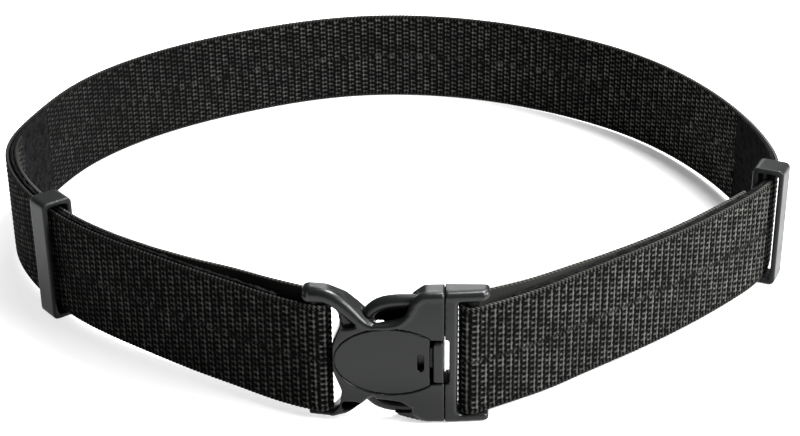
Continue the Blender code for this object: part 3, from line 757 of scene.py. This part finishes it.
def pile_panel(name, node, span, line, inward):
    """A brushed panel with an uneven surface, on the strap's inner face."""
    cell = bpy.context.scene.pile.cell
    offset = WEB_HALF + GAP + PANEL_THICK / 2
    step = float(np.hypot(*(line[1] - line[0])))
    marks = np.arange(round(span[0] / cell), round(span[1] / cell) + 1) * cell
    middle_height = bpy.context.scene.webbing.width / 2
    half_w, half_t = PANEL_WIDTH / 2, PANEL_THICK / 2
    count = round(PANEL_WIDTH / cell)
    ring = [(half_t, half_w * (2 * k / count - 1)) for k in range(count)]
    ring += [(half_t, half_w), (0.0, half_w + PANEL_BULGE)]
    ring += [(-half_t, -half_w * (2 * k / count - 1)) for k in range(count)]
    ring += [(-half_t, -half_w), (0.0, -half_w - PANEL_BULGE), ring[0]]
    ring = np.array(ring)
    run = np.r_[0.0, np.cumsum(np.hypot(*np.diff(ring, axis=0).T))]
    draw = np.random.default_rng(5)
    bumps = draw.normal(0.0, PANEL_BUMPS, (len(marks), len(run)))
    ragged = draw.normal(0.0, PANEL_RAGGED, len(run))
    bumps[:, -1] = bumps[:, 0]
    ragged[-1] = ragged[0]

    def place(i, j):
        near_end = np.clip(1.0 - (marks[-1] - marks[i]) / PANEL_RAGGED_OVER, 0.0, 1.0)
        index = (marks[i] + ragged[j] * near_end) / step
        spot = np.empty((len(i), 3))
        for axis in (0, 1):
            middle = np.interp(index, range(len(line)), line[:, axis])
            normal = np.interp(index, range(len(line)), inward[:, axis])
            spot[:, axis] = middle + normal * (offset + ring[j, 0] + bumps[i, j])
        spot[:, 2] = edge_height(spot) + middle_height + ring[j, 1] + bumps[i, j]
        return spot, {}

    mesh = wrapped_grid(name, marks, run, place)
    made = new_object(name, mesh, bpy.data.materials["brushed_loop_pile"], "belt")
    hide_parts(node)


class DUTYBELT_OT_panels(bpy.types.Operator):
    """Lays the two brushed panels inside the strap"""

    bl_idname = "duty_belt.panels"
    bl_label = "Pile panels"

    def execute(self, context):
        brushed_pile()
        line, inward = outer_line()
        pile_panel("pile_left", "loop_panel_left", PANEL_LEFT, line, inward)
        pile_panel("pile_right", "loop_panel_right", PANEL_RIGHT, line[::-1], inward[::-1])
        return {"FINISHED"}


# Mouldings

# The buckle's own upright plane: U to the right and W up from its middle, with depths into the belt
BUCKLE_PLACE = Matrix.Translation(BUCKLE_AT) @ Matrix.Rotation(BUCKLE_TURN, 4, "Z")
# Its bowed front, in mm: how far the middle stands out, and how far the face falls back at the arms' tips
BUCKLE_CROWN = 3.0
BUCKLE_SWEEP = 3.6
BUCKLE_HALF_HEIGHT = 31.0
ARM_TIP_U = -40.9
# Points less deep than this are pressed onto the front, and it falls away this far beyond a rim's radius
FRONT_DEPTH = 6.0
RIM_REACH = 0.9
# The lowest that the buckle reaches between two places: it rises to the left arm's tip
LOWEST_U = (-31.0, -22.0)
LOWEST_W = (-28.7, -31.4)
# Cells and rounds of smoothing for the two small pieces
COVER_VOXEL, COVER_EASING = 0.35 * MM, 2
BUTTON_VOXEL, BUTTON_EASING = 0.3 * MM, 3
# Gleam and shade of the buckle's acetal, and of the slides', which is a lighter and duller moulding
BUCKLE_FINISH = (0.25, 1.3)
SLIDE_FINISH = (0.11, 2.3)

# Rolled rims on the buckle's face: places and radius in mm
Roll = namedtuple("Roll", "u w radius")
ARM_ROLL = tuple(
    Roll(*row)
    for row in (
        (-37.6, 27.7, 3.2),
        (-33.6, 27.9, 3.2),
        (-29.6, 27.1, 3.2),
        (-26.0, 25.3, 3.1),
        (-22.7, 22.9, 3.0),
        (-19.6, 20.2, 2.8),
        (-16.6, 17.6, 2.4),
        (-13.8, 16.1, 1.8),
        (-11.2, 15.6, 1.0),
    )
)
WINDOW_ROLL = tuple(
    Roll(*row)
    for row in (
        (-11.0, 15.9, 1.2),
        (-7.0, 16.0, 1.3),
        (-3.0, 16.5, 1.3),
        (0.4, 18.0, 1.4),
        (3.0, 20.4, 1.6),
        (4.9, 23.6, 1.9),
        (6.4, 26.3, 2.2),
        (9.0, 28.2, 2.4),
        (13.0, 28.6, 2.4),
        (17.4, 28.6, 2.4),
    )
)
RAIL_ROLL = tuple(Roll(*row) for row in ((18.1, 28.6, 2.4), (24.0, 28.6, 2.4), (33.8, 28.6, 2.4)))
RAIL_ARM = tuple(Roll(*row) for row in ((26.5, 29.0, 2.1), (34.1, 29.0, 2.1)))
LOWER_RIM = tuple(
    Roll(*row) for row in ((-11.0, -17.0, 1.1), (-5.0, -17.6, 1.1), (0.6, -18.9, 1.2), (4.4, -21.6, 1.4))
)
# Blocks cut from the socket half or added to it: corners (U, W), and the two depths, in mm
Block = namedtuple("Block", "front back corners")
UPPER_POCKET = Block(
    -5.0, 2.6, ((-26.3, 21.6), (-22.6, 20.9), (-18.2, 17.4), (-18.0, 15.8), (-23.9, 14.4), (-25.0, 17.6))
)
LOWER_POCKET = Block(
    -5.0, 6.0, ((-25.4, -25.6), (-24.9, -21.2), (-17.6, -20.6), (-16.8, -21.2), (-20.6, -24.4))
)
WINDOW_HOLLOW = Block(1.4, 8.7, ((-11.2, 10.4), (2.4, 10.4), (2.4, 24.0), (-11.2, 24.0)))
WINDOW_HOLE = Block(8.0, 14.0, ((-11.0, 10.6), (-7.2, 10.6), (-7.2, 13.4), (-11.0, 13.4)))
BACK_WALL = (
    Block(8.9, 10.3, ((-7.6, 15.0), (4.6, 15.0), (4.6, 23.6), (-7.6, 23.6))),
    Block(8.9, 10.3, ((-11.4, 14.0), (-7.4, 14.0), (-7.4, 20.6), (-11.4, 20.6))),
)
ABOVE_LOWER_POCKET = Block(-3.0, 5.0, ((-25.8, -20.4), (-25.0, -16.0), (-14.6, -16.0), (-16.4, -20.4)))
LOWER_FILLET = Block(
    1.5,
    9.0,
    ((-3.0, -26.5), (9.0, -26.0), (12.0, -28.0), (12.0, -30.9), (8.0, -30.6), (3.0, -29.3), (-1.0, -28.2)),
)
PARTING_WEB = tuple(
    Block(1.4, 9.4, ((17.3, side * 11.0), (18.3, side * 11.0), (18.3, side * 29.3), (17.3, side * 29.3)))
    for side in (1, -1)
)
POCKET_RIBS = tuple(
    Block(1.7, 4.0, ((u, 15.2), (u + 0.5, 15.2), (u + 0.5, 21.0), (u, 21.0)))
    for u in (-24.6, -23.4, -22.2, -21.0)
)


def buckle_face(u, w):
    """Depth of the buckle's bowed front face, in mm."""
    return BUCKLE_SWEEP * (u / ARM_TIP_U) ** 2 - BUCKLE_CROWN * (1.0 - (w / BUCKLE_HALF_HEIGHT) ** 2)


def through_modifiers(mesh, *steps):
    """A new mesh: this one after modifiers, each given by its kind and settings."""
    rough = bpy.data.objects.new("rough", mesh)
    bpy.context.scene.collection.objects.link(rough)
    for kind, settings in steps:
        step = rough.modifiers.new(kind, kind)
        for key, value in settings.items():
            setattr(step, key, value)
    bpy.context.view_layer.update()
    made = bpy.data.meshes.new_from_object(rough.evaluated_get(bpy.context.evaluated_depsgraph_get()))
    bpy.data.objects.remove(rough, do_unlink=True)
    return made


def merged_copy(node):
    """A copy of a node's mesh with its corners joined."""
    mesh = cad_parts[node].data.copy()
    with edited(mesh) as shape:
        bmesh.ops.remove_doubles(shape, verts=shape.verts, dist=NODE_WELD)
    return mesh


def add_block(shape, block):
    """Adds a block to a buckle mesh."""
    rim = [shape.verts.new((u * MM, block.front * MM, w * MM)) for u, w in block.corners]
    risen = bmesh.ops.extrude_face_region(shape, geom=[shape.faces.new(rim)])
    lifted = [each for each in risen["geom"] if isinstance(each, bmesh.types.BMVert)]
    bmesh.ops.translate(shape, verts=lifted, vec=(0.0, (block.back - block.front) * MM, 0.0))
    bmesh.ops.recalc_face_normals(shape, faces=shape.faces)


def add_tube(shape, rolls, proud):
    """Adds a round tube along a rolled rim to a buckle mesh, so that it stands out from the face."""
    line = bpy.data.curves.new("roll", "CURVE")
    line.dimensions = "3D"
    line.bevel_depth = MM
    line.bevel_resolution = 5
    line.use_fill_caps = True
    spline = line.splines.new("BEZIER")
    spline.bezier_points.add(len(rolls) - 1)
    for point, roll in zip(spline.bezier_points, rolls):
        depth = buckle_face(roll.u, roll.w) + roll.radius - proud
        point.co = Vector((roll.u, depth, roll.w)) * MM
        point.radius = roll.radius
        point.handle_left_type = point.handle_right_type = "AUTO"
    made = bpy.data.objects.new("roll", line)
    mesh = bpy.data.meshes.new_from_object(made)
    shape.from_mesh(mesh)
    bpy.data.objects.remove(made, do_unlink=True)


def press_rims(mesh, rims):
    """Presses a buckle half's front back onto its bowed face, and round where it falls away beyond a rim.
    Each rim is a row of rolls and the side that falls away: 1 above, -1 below, 0 both."""
    flat = np.zeros(len(mesh.vertices) * 3)
    mesh.vertices.foreach_get("co", flat)
    u, depth, w = flat.reshape(-1, 3).T / MM
    face = buckle_face(u, w)
    target = face.copy()
    for rolls, side in rims:
        best = np.full(len(u), 1e9)
        fall = np.ones(len(u))
        above = np.zeros(len(u))
        for a, b in zip(rolls, rolls[1:]):
            along = np.array([b.u - a.u, b.w - a.w])
            share = np.clip(((u - a.u) * along[0] + (w - a.w) * along[1]) / (along @ along), 0.0, 1.0)
            off_u, off_w = u - a.u - share * along[0], w - a.w - share * along[1]
            off = np.hypot(off_u, off_w)
            nearer = off < best
            best = np.where(nearer, off, best)
            fall = np.where(nearer, a.radius + share * (b.radius - a.radius), fall)
            above = np.where(nearer, along[0] * off_w - along[1] * off_u, above)
        falls = (best < fall + RIM_REACH) & ((side * above > 0.0) | (side == 0))
        drop = fall * (1.0 - np.sqrt(np.clip(1.0 - (best / fall) ** 2, 0.0, None)))
        target = np.where(falls, np.maximum(target, face + drop), target)
    moved = np.where(depth < FRONT_DEPTH, np.maximum(depth, target), depth)
    w = np.maximum(w, np.interp(u, LOWEST_U, LOWEST_W))
    mesh.vertices.foreach_set("co", (np.column_stack([u, moved, w]) * MM).ravel())


def buckle_half(node, name, cuts, fills, rims, tubes, finish):
    """A half of the buckle with rolled rims, pockets and hollows, made from the node it stands for."""
    moulding = bpy.context.scene.moulding
    cells = ("REMESH", {"mode": "VOXEL", "voxel_size": moulding.voxel})
    mesh = merged_copy(node)
    mesh.transform(BUCKLE_PLACE.inverted())
    cutters = []
    for cut in cuts:
        cutter = bpy.data.objects.new("cut", bpy.data.meshes.new("cut"))
        with edited(cutter.data) as shape:
            add_block(shape, cut)
        bpy.context.scene.collection.objects.link(cutter)
        cutters.append(cutter)
    taken = {"operation": "DIFFERENCE", "solver": "EXACT"}
    mesh = through_modifiers(mesh, *(("BOOLEAN", {**taken, "object": cutter}) for cutter in cutters))
    for cutter in cutters:
        bpy.data.objects.remove(cutter, do_unlink=True)
    with edited(mesh) as shape:
        for fill in fills:
            add_block(shape, fill)
    mesh = through_modifiers(mesh, cells)
    press_rims(mesh, rims)
    with edited(mesh) as shape:
        for rolls, proud in tubes:
            add_tube(shape, rolls, proud)
    smooth = through_modifiers(mesh, cells, ("SMOOTH", {"factor": 0.5, "iterations": moulding.easing}))
    smooth.name = name
    smooth.transform(BUCKLE_PLACE)
    made = new_object(name, smooth, finish, "belt")
    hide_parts(node)


def softened(node, name, voxel, easing, material, body):
    """A moulding with rounded edges and fillets, made from the node it stands for."""
    cells = ("REMESH", {"mode": "VOXEL", "voxel_size": voxel})
    smooth = through_modifiers(merged_copy(node), cells, ("SMOOTH", {"factor": 0.5, "iterations": easing}))
    smooth.name = name
    made = new_object(name, smooth, material, body)
    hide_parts(node)


class DUTYBELT_OT_buckle(bpy.types.Operator):
    """Moulds the buckle's two halves, its oval cover and its button"""

    bl_idname = "duty_belt.buckle"
    bl_label = "Buckle"

    def execute(self, context):
        satin = moulded_acetal("moulded_acetal", *BUCKLE_FINISH)
        pressed = moulded_acetal("moulded_acetal_button", *BUCKLE_FINISH)
        buckle_half(
            "female_frame",
            "socket_half",
            (UPPER_POCKET, LOWER_POCKET, WINDOW_HOLLOW, WINDOW_HOLE),
            (*BACK_WALL, ABOVE_LOWER_POCKET, LOWER_FILLET, *POCKET_RIBS),
            ((ARM_ROLL, 1), (WINDOW_ROLL, 1)),
            ((ARM_ROLL, 0.7), (WINDOW_ROLL, 0.5), (LOWER_RIM, 0.2)),
            satin,
        )
        buckle_half(
            "male_frame",
            "plug_half",
            (),
            PARTING_WEB,
            ((RAIL_ROLL, 1), (RAIL_ARM, 0)),
            ((RAIL_ROLL, 0.5),),
            satin,
        )
        softened("oval_cover", "cover_plate", COVER_VOXEL, COVER_EASING, satin, "belt")
        softened(
            "release_button", "press_button", BUTTON_VOXEL, BUTTON_EASING, pressed, "button"
        )
        return {"FINISHED"}


class DUTYBELT_OT_slides(bpy.types.Operator):
    """Moulds the two slides round the strap"""

    bl_idname = "duty_belt.slides"
    bl_label = "Slides"

    def execute(self, context):
        moulding = context.scene.moulding
        satin = moulded_acetal("moulded_acetal_slide", *SLIDE_FINISH)
        for node, name in (("keeper_left", "slide_left"), ("keeper_right", "slide_right")):
            softened(node, name, moulding.voxel, moulding.easing, satin, "belt")
        return {"FINISHED"}


# Stage

CAMERA_AT = Vector((5.2, -803.4, 408.45)) * MM
CAMERA_DOWN = math.radians(26.514)
CAMERA_ROLL = math.radians(-0.581)
CAMERA_LENS = 79.857
CAMERA_SENSOR = 36.0
CAMERA_CLIP = (0.01, 50.0)
# Square lamps: where each stands, what it points at, and its size. The power of each is a setting.
Lamp = namedtuple("Lamp", "name at aim size")
LAMPS = (
    Lamp("key", (0.6, -0.34, 0.46), (0.0, -0.02, 0.0), 0.45),
    Lamp("top", (0.36, 0.27, 1.05), (0.0, 0.0, 0.0), 0.36),
    Lamp("back", (0.1, 1.4, 0.74), (0.0, -0.1, 0.03), 0.5),
)
WORLD_STRENGTH = 0.13
WHITE = (1.0, 1.0, 1.0, 1.0)
FLOOR_HALF = 4.0
# The floor's glow, a painted light, is a sum: near the belt's ring and far from it by the share of the ring's
# reach in X and Y, and on the left by X, where it washes out the key light's shadow
FLOOR_RING = (0.188, 0.181, 1.0)
Glow = namedtuple("Glow", "start end low high")
NEAR_GLOW = Glow(1.0, 1.12, 0.26, 0.4)
FAR_GLOW = Glow(1.4, 2.6, 0.0, 0.5)
LEFT_GLOW = Glow(-0.06, 0.14, 0.48, 0.0)


def soft_light(lamp, power):
    """A large square lamp that points at a place."""
    light = bpy.data.lights.new(lamp.name, "AREA")
    light.shape = "SQUARE"
    light.size = lamp.size
    light.energy = power
    made = bpy.data.objects.new(lamp.name, light)
    made.location = lamp.at
    made.rotation_euler = (Vector(lamp.aim) - Vector(lamp.at)).to_track_quat("-Z", "Y").to_euler()
    bpy.context.scene.collection.objects.link(made)


def lit_acrylic():
    """White acrylic sheet with a painted glow, as if lit from below on a light table: weakly inside the belt,
    so that shadows show there, and white round it.
    """
    made, tree, shader = new_material("white_acrylic_floor")
    shader.inputs["Base Color"].default_value = (*bpy.context.scene.stage.floor, 1.0)
    shader.inputs["Roughness"].default_value = 0.5
    shader.inputs["Emission Color"].default_value = WHITE
    place = add_node(tree, "TexCoord").outputs["Object"]
    share = add_node(tree, "VectorMath", {0: place, 1: FLOOR_RING}, operation="DIVIDE")
    radius = add_node(tree, "VectorMath", {0: share.outputs["Vector"]}, operation="LENGTH").outputs["Value"]
    aside = add_node(tree, "SeparateXYZ", {"Vector": place}).outputs["X"]
    near, far, left = (
        add_node(
            tree,
            "MapRange",
            {
                "Value": value,
                "From Min": glow.start,
                "From Max": glow.end,
                "To Min": glow.low,
                "To Max": glow.high,
            },
        ).outputs["Result"]
        for value, glow in ((radius, NEAR_GLOW), (radius, FAR_GLOW), (aside, LEFT_GLOW))
    )
    both = add_node(tree, "Math", {0: near, 1: far}, operation="ADD").outputs["Value"]
    whole = add_node(tree, "Math", {0: both, 1: left}, operation="ADD").outputs["Value"]
    tree.links.new(whole, shader.inputs["Emission Strength"])
    return made


class DUTYBELT_OT_stage(bpy.types.Operator):
    """Sets up the camera, the floor and the lights"""

    bl_idname = "duty_belt.stage"
    bl_label = "Stage"

    def execute(self, context):
        camera = bpy.data.objects.new("camera", bpy.data.cameras.new("camera"))
        context.scene.collection.objects.link(camera)
        ahead = Vector((0.0, math.cos(CAMERA_DOWN), -math.sin(CAMERA_DOWN)))
        up = Vector((0.0, math.sin(CAMERA_DOWN), math.cos(CAMERA_DOWN)))
        side = Vector((1.0, 0.0, 0.0))
        across = math.cos(CAMERA_ROLL) * side + math.sin(CAMERA_ROLL) * up
        upright = -math.sin(CAMERA_ROLL) * side + math.cos(CAMERA_ROLL) * up
        turn = Matrix((across, upright, -ahead)).transposed().to_4x4()
        camera.matrix_world = Matrix.Translation(CAMERA_AT) @ turn
        camera.data.lens = CAMERA_LENS
        camera.data.sensor_width = CAMERA_SENSOR
        camera.data.clip_start, camera.data.clip_end = CAMERA_CLIP
        context.scene.camera = camera
        mesh = bpy.data.meshes.new("floor")
        with edited(mesh) as shape:
            bmesh.ops.create_grid(shape, x_segments=1, y_segments=1, size=FLOOR_HALF)
        mesh.materials.append(lit_acrylic())
        floor = bpy.data.objects.new("floor", mesh)
        context.scene.collection.objects.link(floor)
        for lamp in LAMPS:
            soft_light(lamp, getattr(context.scene.stage, lamp.name + "_power"))
        world = bpy.data.worlds.new("studio")
        context.scene.world = world
        world.use_nodes = True
        sky = world.node_tree.nodes["Background"].inputs
        sky["Color"].default_value = WHITE
        sky["Strength"].default_value = WORLD_STRENGTH
        context.scene.view_settings.view_transform = "Standard"
        return {"FINISHED"}


class DUTYBELT_PT_panel(bpy.types.Panel):
    """Lists the steps that build the belt"""

    bl_label = "Duty Belt"
    bl_idname = "DUTYBELT_PT_panel"
    bl_space_type = "VIEW_3D"
    bl_region_type = "UI"
    bl_category = "Duty Belt"

    def draw(self, context):
        for group in (context.scene.webbing, context.scene.pile, context.scene.moulding, context.scene.stage):
            part = self.layout.box()
            for name in group.bl_rna.properties.keys():
                if name not in ("rna_type", "name"):
                    part.prop(group, name)
        for step in STEPS:
            self.layout.operator(step.bl_idname)


STEPS = (DUTYBELT_OT_stage, DUTYBELT_OT_strap, DUTYBELT_OT_panels, DUTYBELT_OT_buckle, DUTYBELT_OT_slides)
SETTINGS = {
    "webbing": WebbingSettings,
    "pile": PileSettings,
    "moulding": MouldingSettings,
    "stage": StageSettings,
}


def register():
    """Registers the settings, the steps and the panel."""
    for each in (*SETTINGS.values(), *STEPS, DUTYBELT_PT_panel):
        bpy.utils.register_class(each)
    for name, kind in SETTINGS.items():
        setattr(bpy.types.Scene, name, PointerProperty(type=kind))


def unregister():
    """Takes the settings, the steps and the panel out again."""
    for name in SETTINGS:
        delattr(bpy.types.Scene, name)
    for each in (DUTYBELT_PT_panel, *reversed(STEPS), *SETTINGS.values()):
        bpy.utils.unregister_class(each)


def main():
    """Builds the belt on its stage."""
    register()
    for step in STEPS:
        group, name = step.bl_idname.split(".")
        getattr(getattr(bpy.ops, group), name)()


if __name__ == "__main__":
    main()
